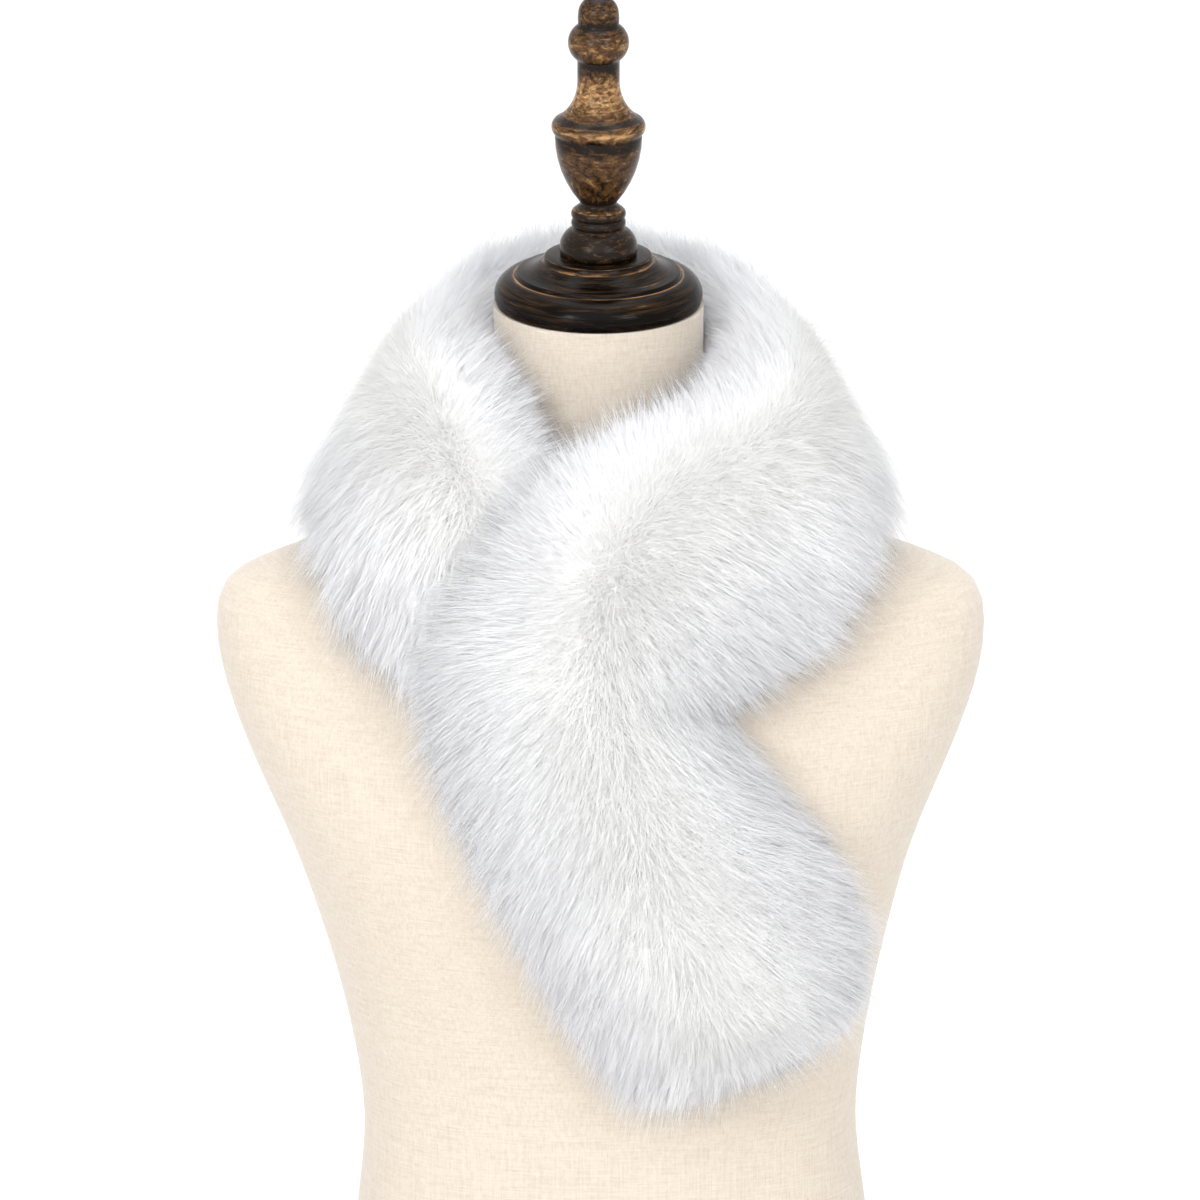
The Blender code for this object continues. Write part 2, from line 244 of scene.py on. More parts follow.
def rub(mesh, lift, places):
    """How far the stain is rubbed off each point: places are (height, reach, amount) on the turning, in mm."""
    points = np.empty(len(mesh.vertices) * 3)
    mesh.vertices.foreach_get("co", points)
    upright = np.array((Matrix.Translation(NECK_TOP) @ NECK_LEAN).inverted())
    points = (points.reshape(-1, 3) @ upright[:3, :3].T + upright[:3, 3]) / MM
    wear = sum(amount * near(points[:, 2] - lift - height, reach) for height, reach, amount in places)
    mesh.attributes.new("rubbed", "FLOAT", "POINT").data.foreach_set("value", wear.astype(np.float32))
    return mesh


def turned_wood(name, stain, rubbed, around, upwards, roughness, shine):
    """Stained wood, with the stain rubbed through in streaks that run round the turning."""
    wood, shader = blank_material(name, Specular_IOR_Level=shine)
    place = add_node(wood, "ShaderNodeTexCoord").outputs["Object"]
    centred = add_node(wood, "ShaderNodeMapping", {"Vector": place, "Location": -NECK_TOP}).outputs["Vector"]
    upright = add_node(wood, "ShaderNodeVectorRotate", {"Vector": centred, "Angle": -LEAN}, rotation_type="X_AXIS")
    parts = add_node(wood, "ShaderNodeSeparateXYZ", {"Vector": upright.outputs["Vector"]}).outputs
    flat = add_node(wood, "ShaderNodeCombineXYZ", {"X": parts["X"], "Y": parts["Y"]}).outputs["Vector"]
    radius = add_node(wood, "ShaderNodeVectorMath", {0: flat}, operation="LENGTH").outputs["Value"]
    outward = add_node(wood, "ShaderNodeVectorMath", {0: flat}, operation="NORMALIZE").outputs["Vector"]
    turned = add_node(wood, "ShaderNodeVectorMath", {0: outward, "Scale": around}, operation="SCALE").outputs["Vector"]
    height = add_math(wood, "MULTIPLY", add_math(wood, "SUBTRACT", parts["Z"], radius), upwards)
    tall = add_node(wood, "ShaderNodeCombineXYZ", {"Z": height}).outputs["Vector"]
    grain = add_node(wood, "ShaderNodeVectorMath", {0: turned, 1: tall}, operation="ADD").outputs["Vector"]
    streak = add_node(wood, "ShaderNodeTexNoise", {"Vector": grain, "Scale": 1.6, "Detail": 6.0, "Roughness": 0.72,
                                                   "Distortion": 0.6}).outputs["Fac"]
    worn = add_node(wood, "ShaderNodeAttribute", attribute_name="rubbed").outputs["Fac"]
    shown = add_math(wood, "ADD", add_math(wood, "ADD", streak, worn), rubbed)
    gloss = add_node(wood, "ShaderNodeMapRange", {"Value": streak, "From Min": 0.3, "From Max": 0.7,
                                                  "To Min": roughness - 0.05, "To Max": roughness + 0.12})
    finish_material(wood, shader, Base_Color=add_ramp(wood, shown, *zip(STAIN_PLACES, stain)),
                    Roughness=gloss.outputs["Result"], Normal=add_bump(wood, streak, 0.25, 0.0006))
    return wood


cap_wood = turned_wood("cap_wood", CAP_STAIN, rubbed=-0.07, around=1.1, upwards=260.0, roughness=0.17, shine=0.07)
cap_mesh = rub(turn(CAP_ROWS, CAP_LIFT), CAP_LIFT, CAP_RUBBED)
add_piece("neck_cap_turned", cap_mesh, cap_wood, "dark_wood", "neck_cap")

# The finial is one more turning, doweled into the cap: a dark dome and beads, then a lighter vase, ring, neck,
# bead and knob where years of hands have rubbed the stain down to a golden brown.
FINIAL_LIFT = 26.6
FINIAL_ROWS = (
    (19.6, 0.0, 2.6), (13.9, 13.4, 0.0), (12.9, 14.1, 1.1), (12.9, 18.8, 1.3), (12.6, 24.0, 0.0), (9.8, 26.2, -0.3),
    (9.9, 28.2, 3.2), (22.3, 62.6, 0.0), (21.9, 63.4, 2.1), (22.0, 71.4, 0.0), (20.6, 72.0, -2.6), (10.8, 91.0, -0.1),
    (10.8, 101.6, 0.0), (11.2, 102.8, 4.6), (10.7, 120.6, 0.0), (10.4, 121.2, 0.2), (10.3, 127.6, 2.7),
    (0.0, 136.0, 0.0),
)
FINIAL_RUBBED = (
    (5.0, 9.0, -0.12), (16.0, 4.0, -0.12), (13.4, 0.25, 0.12), (23.8, 0.25, 0.2), (21.0, 3.0, -0.08),
    (27.5, 1.5, -0.2), (48.0, 10.0, 0.03), (62.8, 0.6, -0.2), (67.5, 2.2, 0.17), (72.0, 0.5, -0.25),
    (84.0, 9.0, 0.18), (95.0, 6.0, 0.12), (102.2, 1.0, -0.3), (111.0, 4.0, 0.1), (120.8, 0.7, -0.3),
    (129.0, 2.0, 0.02), (135.0, 2.0, -0.1),
)
FINIAL_STAIN = (0.010, 0.0055, 0.003), (0.090, 0.044, 0.017), (0.52, 0.30, 0.125)
finial_wood = turned_wood("finial_wood", FINIAL_STAIN, rubbed=0.0, around=2.0, upwards=250.0, roughness=0.19,
                          shine=0.14)
finial_mesh = rub(turn(FINIAL_ROWS, FINIAL_LIFT), FINIAL_LIFT, FINIAL_RUBBED)
add_piece("finial_turned", finial_mesh, finial_wood, "dark_wood", "finial")

# The wrap's skin is one long strip of fur cloth, rolled into a tube and sewn closed along its underside and at
# both ends. Each row is a place along it, from the end hidden under the crossing to the hanging end: its upper
# and lower edge, arch, crown, sole, ridge and pinch, and the flow, how far the hair leans on along the strip.
STRIP_ROWS = {
    "hidden_end": (28, -86, 460, -42, -124, 384, 5, 11, 14, 0.0, 0, -0.4),
    "under_crossing": (1, -72, 503, -84, -112, 405, 8, 19, 22, -0.2, 0, -0.6),
    "left_crossing": (-19, -68, 538, -113, -98, 421, 8, 25, 27, -0.4, 0, -0.55),
    "left_chest": (-33, -60, 555, -134, -80, 445, 6, 28, 29, -0.45, 0, -0.3),
    "left_front": (-50, -40, 578, -146, -42, 475, 4, 28, 30, -0.5, 0, -0.12),
    "left_side": (-65, 4, 592, -145, 6, 481, 2, 27, 30, -0.45, 0, 0.0),
    "left_back": (-54, 54, 611, -108, 78, 481, 2, 29, 28, -0.35, 0, 0.0),
    "back": (0, 81, 621, 0, 104, 482, 2, 30, 25, -0.3, 0, 0.0),
    "right_back": (58, 54, 611, 108, 78, 481, 2, 29, 26, -0.35, 0, 0.0),
    "right_side": (71, 4, 592, 145, 4, 481, 2, 27, 28, -0.45, 0, 0.0),
    "right_front": (68, -40, 577, 145, -40, 476, 4, 28, 29, -0.5, 0, -0.15),
    "right_chest": (50, -66, 565, 135, -74, 456, 5, 30, 30, -0.55, 0, -0.3),
    "right_low": (21, -80, 558, 117, -92, 434, 7, 30, 28, -0.55, 0, -0.42),
    "right_crossing": (-13, -100, 544, 95, -106, 421, 12, 30, 24, -0.45, 0, -0.35),
    "over_crossing": (-46, -120, 518, 78, -114, 413, 16, 30, 22, -0.33, 2, 0.0),
    "elbow_in": (-69, -121, 481, 72, -115, 409, 22, 30, 20, -0.1, 6, 0.35),
    "elbow": (-97, -118, 444, 70, -114, 404, 29, 29, 18, 0.1, 10, 0.6),
    "elbow_out": (-93, -122, 400, 74, -117, 397, 29, 29, 22, 0.2, 6, 0.72),
    "tail_top": (-80, -126, 362, 88, -121, 379, 27, 29, 25, 0.15, 1, 0.8),
    "tail_middle": (-59, -130, 318, 109, -117, 352, 25, 28, 25, 0.04, 0, 0.85),
    "tail_low": (-34, -124, 272, 128, -104, 324, 27, 28, 25, -0.1, 0, 0.95),
    "tail_end": (-13, -114, 232, 140, -92, 293, 28, 26, 24, -0.16, 0, 1.1),
    "hanging_end": (6, -110, 208, 139, -88, 264, 25, 22, 20, -0.18, 0, 1.35),
}
PILE = 13.0                 # from the skin out to where the dense hair ends
STATION_STEP = 5.0
CROWN_POINTS = 41
SOLE_POINTS = 27
CROWN_FULLNESS = 2.2        # 2 is an ellipse, and more is squarer
SOLE_FULLNESS = 2.8
END_FULLNESS = 2.7
LEAST_DEEP = 4.0            # of the skin's crown and sole, where the strip is thin
END_ROUND = 24.0
END_ANGLES = (12.0, 25.0, 38.0, 50.0, 61.0, 71.0, 80.0)
ELBOW_REACH = 28.0          # how far along the strip its turn at the elbow is eased
ELBOW_ROUNDS = 20
WALL = 2.0 * MM


def unit(vectors):
    """These vectors, each of length 1."""
    return vectors / np.maximum(np.linalg.norm(vectors, axis=-1, keepdims=True), 1e-9)


def smooth_rows(rows, knots, places):
    """The table's columns at the given places, along smooth curves that pass through every row."""
    spans = np.diff(knots)[:, None]
    slopes = np.diff(rows, axis=0) / spans
    inner = (slopes[:-1] * spans[1:] + slopes[1:] * spans[:-1]) / (spans[1:] + spans[:-1])
    tangents = np.vstack([slopes[:1], inner, slopes[-1:]])
    spots = np.clip(np.searchsorted(knots, places, side="right") - 1, 0, len(rows) - 2)
    span = spans[spots]
    t = ((places - knots[spots])[:, None]) / span
    return ((2 * t**3 - 3 * t**2 + 1) * rows[spots] + (t**3 - 2 * t**2 + t) * span * tangents[spots]
            + (3 * t**2 - 2 * t**3) * rows[spots + 1] + (t**3 - t**2) * span * tangents[spots + 1])


def row_place(row):
    """How far along the strip a named row lies."""
    return knots[list(STRIP_ROWS).index(row)]


rows = np.array(list(STRIP_ROWS.values()), dtype=float)
middles = (rows[:, 0:3] + rows[:, 3:6]) / 2
knots = np.concatenate([[0.0], np.cumsum(np.linalg.norm(np.diff(middles, axis=0), axis=1))])
stops = np.linspace(0.0, knots[-1], round(knots[-1] / STATION_STEP) + 1)
table = smooth_rows(rows, knots, stops)
ahead = smooth_rows(rows, knots, np.minimum(stops + 1, knots[-1]))
behind = smooth_rows(rows, knots, np.maximum(stops - 1, 0.0))
along = unit((ahead - behind)[:, 0:3] + (ahead - behind)[:, 3:6])
middle = (table[:, 0:3] + table[:, 3:6]) / 2
half = (table[:, 3:6] - table[:, 0:3]) / 2
across = unit(half)
out = unit(np.cross(along, half))
arch, crown, sole, ridge, pinch, flow = (table[:, i, None] for i in range(6, 12))
half_width = np.linalg.norm(half, axis=1)[:, None]

# Across the strip, u runs from the upper edge over the crown to the lower edge, then back along the sole.
crown_u = -np.cos(np.pi * np.arange(CROWN_POINTS) / (CROWN_POINTS - 1))
sole_u = np.cos(np.pi * np.arange(1, SOLE_POINTS + 1) / (SOLE_POINTS + 1))


def skin_rings(depth):
    """Rings of the strip's surface that lies so deep under the ends of the hair, rounded off at both ends."""
    side = np.where(crown_u < ridge, 1 + ridge, 1 - ridge)
    slope = 1 - np.minimum(1.0, np.abs(crown_u - ridge) / side) ** CROWN_FULLNESS
    top = (arch * (1 - crown_u**2) + (crown - depth).clip(LEAST_DEEP) * slope ** (1 / CROWN_FULLNESS)
           - pinch * np.maximum(0.0, crown_u) ** 2 * slope**0.25)
    round_sole = (1 - np.abs(sole_u) ** SOLE_FULLNESS) ** (1 / SOLE_FULLNESS)
    low = arch * (1 - sole_u**2) - (sole - depth).clip(LEAST_DEEP) * round_sole
    heights = np.hstack([top, low])[:, :, None]
    u = np.concatenate([crown_u, sole_u])[None, :, None]
    body = middle[:, None] + across[:, None] * (half_width - depth)[:, None] * u + out[:, None] * heights
    keel = heights.mean(axis=1)
    rings = [body]
    for end, way in ((0, -1), (-1, 1)):
        rounded = []
        for angle in np.radians(END_ANGLES):
            narrow = (1 - math.sin(angle) ** END_FULLNESS) ** (1 / END_FULLNESS)
            centre = middle[end] + along[end] * way * (END_ROUND - depth) * math.sin(angle) + out[end] * keel[end]
            wide = (body[end] - middle[end]) @ across[end]
            high = (body[end] - middle[end]) @ out[end] - keel[end]
            rounded.append(centre + np.outer(wide * narrow, across[end])
                           + np.outer(high * math.cos(angle), out[end]))
        rings = [np.array(rounded[::-1]), *rings] if way < 0 else [*rings, np.array(rounded)]
    return np.concatenate(rings)


rings = skin_rings(PILE) * MM
caps = len(END_ANGLES)
at_elbow = near(stops - row_place("elbow"), ELBOW_REACH)[:, None, None]
for _ in range(ELBOW_ROUNDS):
    eased = (rings[:-2] + rings[2:] - 2 * rings[1:-1]) / 4
    rings[caps:-caps] += eased[caps - 1:1 - caps] * at_elbow
ring_count, ring_points = rings.shape[:2]

bm = bmesh.new()
bmesh.ops.create_grid(bm, x_segments=ring_points, y_segments=ring_count - 1, size=0.5)
grid = sorted(bm.verts, key=lambda v: (round(v.co.y, 5), round(v.co.x, 5)))
rolled = np.concatenate([rings, rings[:, :1]], axis=1).reshape(-1, 3)
for vert, point in zip(grid, rolled):
    vert.co = point
bmesh.ops.remove_doubles(bm, verts=bm.verts, dist=10 * SAME_POINT)
ends = bmesh.ops.holes_fill(bm, edges=bm.edges, sides=0)["faces"]
bmesh.ops.poke(bm, faces=ends)
bmesh.ops.recalc_face_normals(bm, faces=bm.faces)

backing, shader = blank_material("fur_backing", Roughness=0.9, Sheen_Weight=0.3, Specular_IOR_Level=0.1)
place = add_node(backing, "ShaderNodeTexCoord").outputs["Object"]
down = add_node(backing, "ShaderNodeTexNoise", {"Vector": place, "Scale": 900.0, "Detail": 3.0}).outputs["Fac"]
finish_material(backing, shader, Normal=add_bump(backing, down, 0.6, 0.001),
                Base_Color=add_ramp(backing, down, (0.35, (0.96, 0.96, 0.955)), (0.65, (0.98, 0.98, 0.98))))
wrap_skin = add_piece("wrap_skin", from_bmesh(bm), backing, "fur", "wrap_left_front", "wrap_back", "wrap_right_front",
                      "wrap_tail")
wall = wrap_skin.modifiers.new("wall", "SOLIDIFY")
wall.thickness = WALL
wall.offset = -1.0

# The pile grows from the skin: dense soft underfur that fills it, and longer hairs in small tufts, a few of them
# guard hairs that stand out past the rest. It parts along each stretch's ridge, where the tips face outwards,
# and lies over towards both edges.
UNDERFUR_A_MM = 1.5         # hairs on a square millimetre of the crown
HAIRS_A_MM = 1.15
UNDERFUR_WIDTH = 0.30       # of a hair at its root, in mm
HAIR_WIDTH = 0.28           # of a longer hair where it is widest
GUARD_WIDTH = 0.20
UNDERFUR_LENGTHS = 16, 26   # the longest that hairs get, from and to
HAIR_LENGTHS = 24, 36
GUARD_LENGTHS = 30, 44
UNDERFUR_ENDS = -4.2, 1.5   # where tips end, past the depth of the pile: mean and spread
HAIR_ENDS = -2.8, 1.5
GUARD_ENDS = 0.0, 11.0      # least and most
NECK_ENDS = 11.0            # how much further hairs reach where the strip faces the neck
UNDERFUR_STRAY = 0.12       # how far hairs stray from the way that their tuft lies
HAIR_STRAY = 0.07
GUARD_STRAY = 0.13
PARTED_STRAY = 0.3          # how much further they stray at the parting
PARTING = 0.16              # how wide the parting is, where 1 is the way from ridge to edge
TUFT = 6                    # longer hairs in a tuft
TUFT_SPREAD = 1.7
TUFT_SWAY = (70, 0.035), (28, 0.035)    # length and amount of the waves that tufts sway in
BEND = 0.42                 # how far up a longer hair is bent
SAG = 0.06                  # how far its tip hangs down, as a share of its length
SOLE_TUCK = math.radians(24.0)          # how far the sole's hair turns in under the strip
NECK_OPENING = math.radians(35.0)       # how far it opens out again where it faces the neck
TIP_REACH = 45.0            # from the hanging end, where the hair begins to lie as it does at the edges and to take their painted shade
TIP_EDGE = 0.55
OFF_THE_FORM = 0.8 * MM
TOWARDS_LIGHT = np.array((0.0, -0.3, 1.1))


def along_rows(**values):
    """A value at each station, smooth between those that named rows have."""
    return np.interp(stops, [row_place(row) for row in values], list(values.values()))


def with_ends(values):
    """Repeats the first and last station's values over the rounded ends' rings."""
    return np.concatenate([np.repeat(values[:1], caps, 0), values, np.repeat(values[-1:], caps, 0)])


# How near the edge each point lies, how the hair lies there, from upright at the ridge to flat at the edges, and
# where it faces the neck. The ends' hair fans outwards as the edges' does. Nearness to an edge, an end or the
# hanging end also sets how much painted shade darkens and cools the hair.
u_all = np.concatenate([crown_u, sole_u])
from_ridge = (u_all - ridge) / np.where(u_all < ridge, 1 + ridge, 1 - ridge)
from_ridge[:, CROWN_POINTS:] = np.sign(sole_u)
lying = np.sign(from_ridge) * (math.pi / 2) * (1 - (1 - np.abs(from_ridge)) ** 2.2)
tucked = SOLE_TUCK * (1 - np.abs(sole_u)) ** 0.5
lying[:, CROWN_POINTS:] = np.sign(sole_u) * (math.pi / 2 + tucked)
at_neck = along_rows(left_crossing=0.0, left_chest=0.7, left_front=1.0,
                     right_front=1.0, right_chest=0.7, right_low=0.0)
neck_side = at_neck[:, None] * np.concatenate([0.6 * np.clip(-5.0 * crown_u - 4.0, 0.0, 1.0),
                                               np.clip(-2.0 * sole_u, 0.0, 1.0)])
lying[:, CROWN_POINTS:] -= NECK_OPENING * neck_side[:, CROWN_POINTS:]
near_tip = TIP_EDGE * np.clip(1.0 - (stops[-1] - stops) / TIP_REACH, 0.0, 1.0)[:, None]
lean_on = with_ends(np.repeat(flow, ring_points, axis=1))
edgeward = with_ends(np.maximum(np.abs(from_ridge), near_tip))
for i, angle in enumerate(np.radians(END_ANGLES)):
    lean_on[-caps + i] += math.tan(min(angle, 1.2))
    lean_on[caps - 1 - i] -= math.tan(min(angle, 1.2))
    edgeward[-caps + i] = np.maximum(edgeward[-caps + i], TIP_EDGE + (1 - TIP_EDGE) * math.sin(angle))
lying, neck_side = with_ends(lying)[..., None], with_ends(neck_side)
upright, sideways, onwards = (with_ends(v)[:, None] for v in (out, across, along))
lay = unit(np.cos(lying) * upright + np.sin(lying) * sideways + lean_on[..., None] * onwards)
normals = unit(np.cross(np.roll(rings, -1, axis=1) - np.roll(rings, 1, axis=1), np.gradient(rings, axis=0)))
normals *= np.sign((normals * (rings - rings.mean(axis=1, keepdims=True))).sum(-1).mean())

# Less grows where it is covered: along the sole, and on the end that lies under the crossing.
seen = with_ends(along_rows(hidden_end=0.3, under_crossing=0.35, left_chest=1.0))[:-1]
growth = np.ones(ring_points)
growth[CROWN_POINTS:] = 0.08 + 0.8 * np.abs(sole_u) ** 3
next_rings = np.roll(rings, -1, axis=1)
cell_area = np.linalg.norm(np.cross(rings[1:] - next_rings[:-1], next_rings[1:] - rings[:-1]), axis=-1) / 2


def cell_mean(values):
    """The mean of each cell's four corners."""
    on = np.roll(values, -1, axis=1)
    return (values[:-1] + values[1:] + on[:-1] + on[1:]) / 4


def blend_cell(values, i, j, a, b):
    """Values at place a, b in cells i, j of the rings."""
    k = (j + 1) % ring_points
    a, b = a[:, None], b[:, None]
    return ((values[i, j] * (1 - b) + values[i, k] * b) * (1 - a)
            + (values[i + 1, j] * (1 - b) + values[i + 1, k] * b) * a)


def ripple(points, waves, rng):
    """Slow random waves over the surface, three numbers a point, so that neighbouring tufts sway together."""
    total = np.zeros((len(points), 3))
    for length, amount in waves:
        for _ in range(5):
            wave = unit(rng.normal(size=3)) * 2 * np.pi / (length * MM)
            total += amount * np.sin(points @ wave + rng.uniform(0, 2 * np.pi))[:, None] * rng.normal(size=3)
    return total


def keep_off(points):
    """Moves points that lie in the form out to just off its surface."""
    for i, point in enumerate(points):
        place, normal, _, _ = form_tree.find_nearest(point, 0.06)
        if place is not None and (Vector(point) - place).dot(normal) < OFF_THE_FORM:
            points[i] = place + normal * OFF_THE_FORM


def sprout(cells, tuft, count, rng):
    """Roots, the skin's normals and the way hairs lie there, nearness to edge and neck, and random tints."""
    weight, lo = cells
    spots = rng.choice(weight.size, count // tuft, p=weight.ravel() / weight.sum())
    i, j = spots // ring_points + lo, spots % ring_points
    a, b = rng.random(len(spots)), rng.random(len(spots))
    root = blend_cell(rings, i, j, a, b)
    lies = blend_cell(lay, i, j, a, b) + ripple(root, TUFT_SWAY, rng)
    lies = unit(lies + rng.normal(scale=0.06, size=root.shape))
    edge, inner = blend_cell(np.stack([edgeward, neck_side], axis=-1), i, j, a, b).T
    grown = root, unit(blend_cell(normals, i, j, a, b)), lies, edge, inner, rng.random((len(spots), 2))
    return [np.repeat(values, tuft, axis=0) for values in grown]


def blades(start, bend, tip, normal, inner, width, edge, tint, rng):
    """Hairs as thin blades that each roll a little round their own line, with the marks that colour them: a random
    tint, and how near the edge they grow, which gives the painted edge shade.

    They shade with the skin, but look upwards where they lean on the neck and the light falls on them.
    """
    count = len(start)
    normal = unit(normal + inner[:, None] * TOWARDS_LIGHT)
    roll = rng.normal(scale=0.5, size=count).clip(-1.2, 1.2)[:, None]
    line = unit(tip - (start if bend is None else bend))
    flat = unit(np.cross(line, normal))
    face = unit(np.cross(flat, line))
    wide = (flat * np.cos(roll) + face * np.sin(roll)) * (np.broadcast_to(width, count)[:, None] / 2 * MM)
    if bend is None:
        points = np.stack([start - wide, start + wide, tip], axis=1)
    else:
        points = np.stack([start, bend - wide, bend + wide, tip], axis=1)
    return points, face, normal, np.stack([0.7 * tint[:, 0] + 0.3 * rng.random(count), edge], axis=1)


def underfur(cells, count, rng):
    """Short, straight and dense."""
    start, n, lies, edge, inner, tint = sprout(cells, 1, count, rng)
    stray = UNDERFUR_STRAY + PARTED_STRAY * near(edge, PARTING)
    own = unit(lies + rng.normal(scale=stray[:, None], size=(count, 3)))
    line = unit(own + n * 0.35)
    reach = PILE + rng.normal(*UNDERFUR_ENDS, count) + 2.5 * near(edge, 0.35) + NECK_ENDS * inner
    length = np.minimum(reach / np.clip((line * n).sum(1), 0.3, 1.0), rng.uniform(*UNDERFUR_LENGTHS, count)) * MM
    tip = start + line * length[:, None]
    keep_off(tip)
    return blades(start, None, tip, n, inner, UNDERFUR_WIDTH, edge, tint, rng)


def longer_hairs(cells, count, rng):
    """Hairs that lean together in tufts, and are bent over where they come out of the underfur."""
    start, n, lies, edge, inner, tint = sprout(cells, TUFT, count, rng)
    count = len(start)
    guard = rng.random(count) < 0.10 + 0.2 * edge ** 3 + 0.15 * inner
    aside = unit(np.cross(n, lies))
    spread = rng.normal(scale=TUFT_SPREAD * MM, size=(count, 2))
    offset = aside * spread[:, :1] + np.cross(aside, n) * spread[:, 1:]
    start = start + offset - n * 0.3 * MM
    stray = np.where(guard, GUARD_STRAY, HAIR_STRAY) + PARTED_STRAY * near(edge, PARTING)
    own = unit(lies + rng.normal(scale=stray[:, None], size=(count, 3)))
    rise = np.clip((own * n).sum(1) * 0.6 + 0.36, 0.3, 1.0)
    spare = np.where(guard, rng.uniform(*GUARD_ENDS, count),
                     rng.normal(*HAIR_ENDS, count) + 5.0 * edge * (tint[:, 1] - 0.5))
    spare += NECK_ENDS * inner
    longest = np.where(guard, rng.uniform(*GUARD_LENGTHS, count), rng.uniform(*HAIR_LENGTHS, count))
    length = (np.minimum(longest, (PILE + spare) / rise) * MM)[:, None]
    bend = start + unit(n + own) * length * BEND - offset * 0.15
    gather = np.where(guard, 0.1, 0.25 + 0.4 * edge ** 2)[:, None]
    tip = bend + own * length * (1 - BEND) - offset * gather
    tip[:, 2] -= length[:, 0] * SAG
    for points in (tip, bend):
        keep_off(points)
    return blades(start, bend, tip, n, inner, np.where(guard, GUARD_WIDTH, HAIR_WIDTH), edge, tint, rng)


def hair_mesh(name, strands):
    """One mesh of hairs, each a bent kite, or a plain sliver where it has no bend, that shades with the skin."""
    places, corners, softs, shades, first = [], [], [], [], 0
    for points, face, normal, marks in strands:
        count, size = points.shape[:2]
        turns = np.array([[0, 2, 1], [1, 2, 3]] if size == 4 else [[0, 1, 2]])
        places.append(points.reshape(-1, 3))
        corners.append((np.arange(count)[:, None, None] * size + turns + first).reshape(-1, 3))
        softs.append(np.repeat(unit(normal * 0.9 + face * 0.1), size, axis=0))
        shade = np.ones((count, size, 4))
        shade[:, :, 0] = [0.0, 0.45, 0.45, 1.0] if size == 4 else [0.0, 0.0, 0.8]
        shade[:, :, 1:3] = marks[:, None]
        shades.append(shade.reshape(-1, 4))
        first += count * size
    corners = np.concatenate(corners)
    mesh = bpy.data.meshes.new(name)
    mesh.vertices.add(first)
    mesh.vertices.foreach_set("co", np.concatenate(places).ravel())
    mesh.loops.add(corners.size)
    mesh.loops.foreach_set("vertex_index", corners.astype(np.int32).ravel())
    mesh.polygons.add(len(corners))
    mesh.polygons.foreach_set("loop_start", np.arange(0, corners.size, 3, dtype=np.int32))
    mesh.update(calc_edges=True)
    mesh.normals_split_custom_set_from_vertices(np.concatenate(softs))
    shade = mesh.attributes.new("pile", "FLOAT_COLOR", "POINT")
    shade.data.foreach_set("color", np.concatenate(shades).astype(np.float32).ravel())
    return mesh


def grow(name, node, first, last, seed):
    """The pile of one stretch of the strip, from row to row."""
    rng = np.random.default_rng(seed)
    lo, hi = (int(round(np.interp(row_place(row), stops, np.arange(len(stops))))) + caps for row in (first, last))
    lo = 0 if first == "hidden_end" else lo
    hi = ring_count - 1 if last == "hanging_end" else hi
    on_crown = np.arange(ring_points) < CROWN_POINTS
    weight = cell_area[lo:hi] * (growth + 0.8 * cell_mean(neck_side)[lo:hi])
    weight = weight * (1 + 0.9 * near(cell_mean(edgeward)[lo:hi], 0.3) * on_crown)
    weight = weight * seen[lo:hi, None]
    longer, short = (round(each * weight.sum() / MM**2) for each in (HAIRS_A_MM, UNDERFUR_A_MM))
    cells = weight, lo
    strands = [underfur(cells, short, rng), longer_hairs(cells, longer, rng)]
    return add_piece(name, hair_mesh(name, strands), fur, "fur", node)


def multiply(material, first, second):
    """One colour times another, through a mix node's colour sockets."""
    factor, a, b, result = 0, 6, 7, 2
    return add_node(material, "ShaderNodeMix", {factor: 1.0, a: first, b: second}, data_type="RGBA",
                    blend_type="MULTIPLY").outputs[result]


fur, shader = blank_material("white_fur", Roughness=0.7, Sheen_Weight=0.2, Specular_IOR_Level=0.25)
pile = add_node(fur, "ShaderNodeAttribute", attribute_name="pile").outputs["Color"]
marks = add_node(fur, "ShaderNodeSeparateColor", {"Color": pile}).outputs
root_to_tip = add_ramp(fur, marks["Red"], (0.0, (0.985, 0.98, 0.975)), (0.45, (0.985, 0.985, 0.98)),
                       (1.0, (0.99, 0.99, 0.988)))
each_hair = add_ramp(fur, marks["Green"], (0.0, (0.985, 0.985, 0.982)), (1.0, (1.0, 1.0, 1.0)))
# Painted shade: the hair is darker and cooler towards the strip's edges, its rounded ends and the hanging end, where
# the light falls off.
painted_edge_shade = add_ramp(fur, marks["Blue"], (0.2, (1.0, 1.0, 1.0)), (1.0, (0.89, 0.893, 0.918)))
white = multiply(fur, multiply(fur, root_to_tip, painted_edge_shade), each_hair)
finish_material(fur, shader, Base_Color=white)
glow = add_node(fur, "ShaderNodeBsdfTranslucent", {"Color": white})
lit_through = add_node(fur, "ShaderNodeMixShader", {0: 0.45, 1: shader.outputs["BSDF"], 2: glow.outputs["BSDF"]})
fur.node_tree.links.new(lit_through.outputs["Shader"], fur.node_tree.nodes["Material Output"].inputs["Surface"])

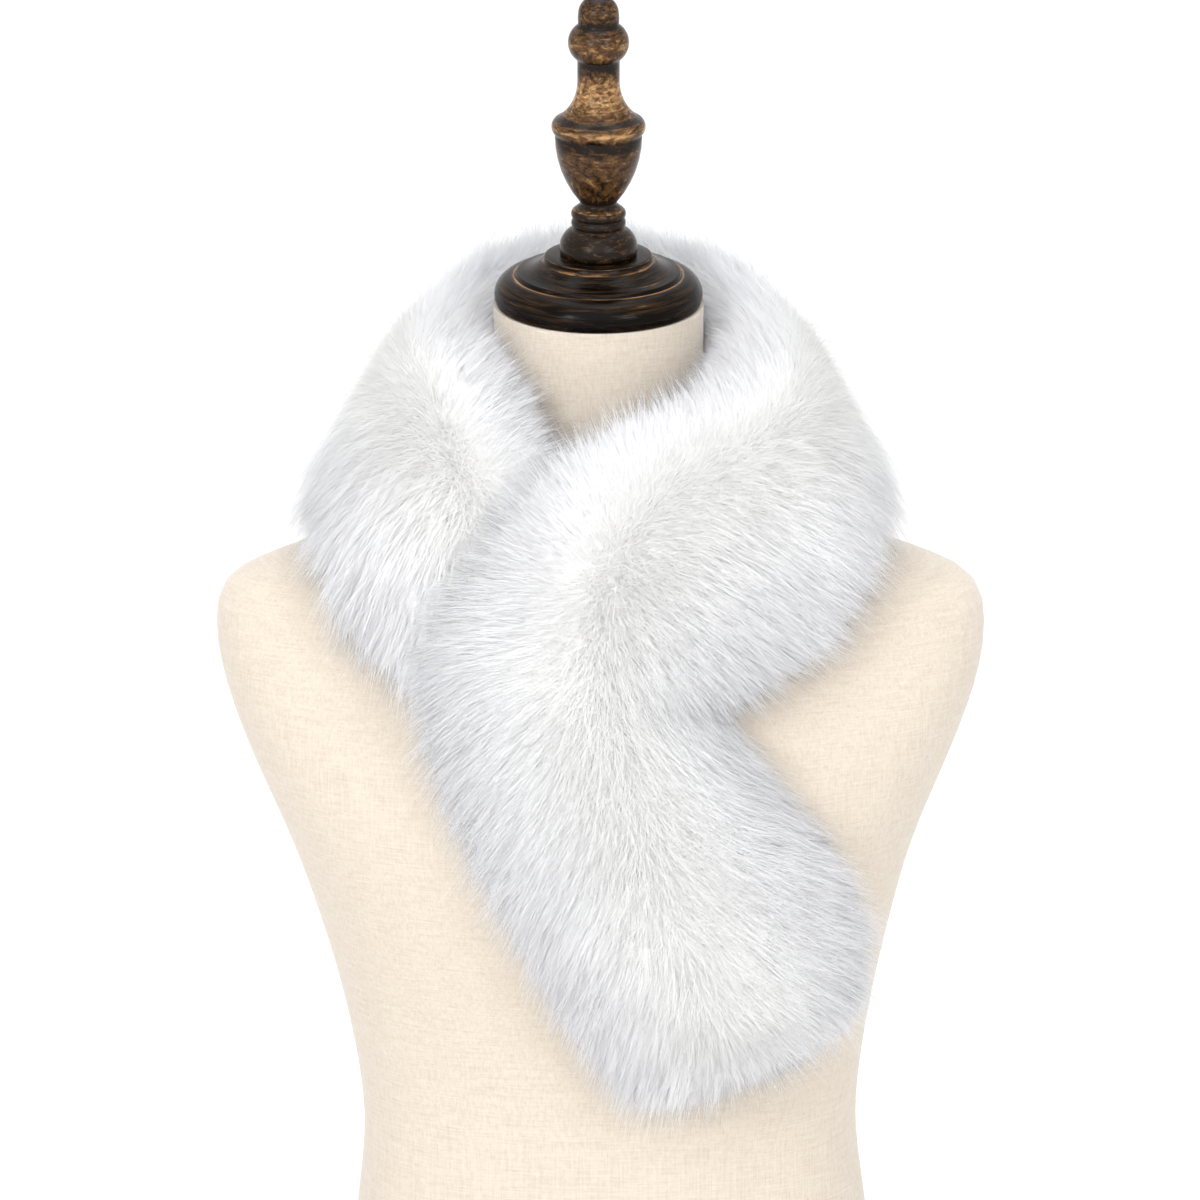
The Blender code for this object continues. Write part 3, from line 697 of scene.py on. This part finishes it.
pile_pieces = [
    grow("fur_left_front", "wrap_left_front", "hidden_end", "left_side", 11),
    grow("fur_left_back", "wrap_back", "left_side", "back", 12),
    grow("fur_right_back", "wrap_back", "back", "right_side", 16),
    grow("fur_right_front", "wrap_right_front", "right_side", "right_low", 13),
    grow("fur_crossing", "wrap_right_front", "right_low", "elbow", 15),
    grow("fur_tail", "wrap_tail", "elbow", "tail_middle", 14),
    grow("fur_hanging_end", "wrap_tail", "tail_middle", "hanging_end", 17),
]

# A plain white floor and soft studio light: an even white surround, a broad soft light from the front and above,
# and a softbox at each side of the camera, which give the wood its pairs of highlights.
FLOOR_SIZE = 15.0
FLOOR_GAP = 0.0005          # so that the form's base doesn't lie in the floor
bm = bmesh.new()
bmesh.ops.create_grid(bm, x_segments=1, y_segments=1, size=FLOOR_SIZE)
bmesh.ops.translate(bm, vec=(0.0, 0.0, -FLOOR_GAP), verts=bm.verts)
paper, shader = blank_material("white_paper", Roughness=0.9, Base_Color=(0.7, 0.7, 0.7, 1.0),
                               Emission_Color=(1.0, 1.0, 1.0, 1.0), Emission_Strength=0.28)
floor = bpy.data.objects.new("floor", from_bmesh(bm))
floor.data.materials.append(paper)
scene.collection.objects.link(floor)

world = bpy.data.worlds.new("studio")
scene.world = world
world.use_nodes = True
surround = world.node_tree.nodes["Background"]
surround.inputs["Color"].default_value = (1.0, 1.0, 1.0, 1.0)
surround.inputs["Strength"].default_value = 1.0


def add_light(name, kind, place, energy, **settings):
    """A light at a place, aimed at the middle of the wrap."""
    light = bpy.data.objects.new(name, bpy.data.lights.new(name, kind))
    scene.collection.objects.link(light)
    light.location = place
    light.rotation_euler = (Vector((0.0, -0.05, 0.46)) - Vector(place)).to_track_quat("-Z", "Y").to_euler()
    light.data.energy = energy
    light.visible_camera = False
    for setting, value in settings.items():
        setattr(light.data, setting, value)


add_light("front", "SUN", (-0.35, -3.0, 2.2), 1.05, angle=math.radians(60.0))
add_light("overhead", "AREA", (0.0, 0.0, 1.6), 6.0, shape="DISK", size=0.9)
add_light("softbox_left", "AREA", (-1.3, -2.2, 1.2), 17.0, shape="RECTANGLE", size=0.14, size_y=0.26)
add_light("softbox_right", "AREA", (1.3, -2.2, 1.2), 13.0, shape="RECTANGLE", size=0.14, size_y=0.26)
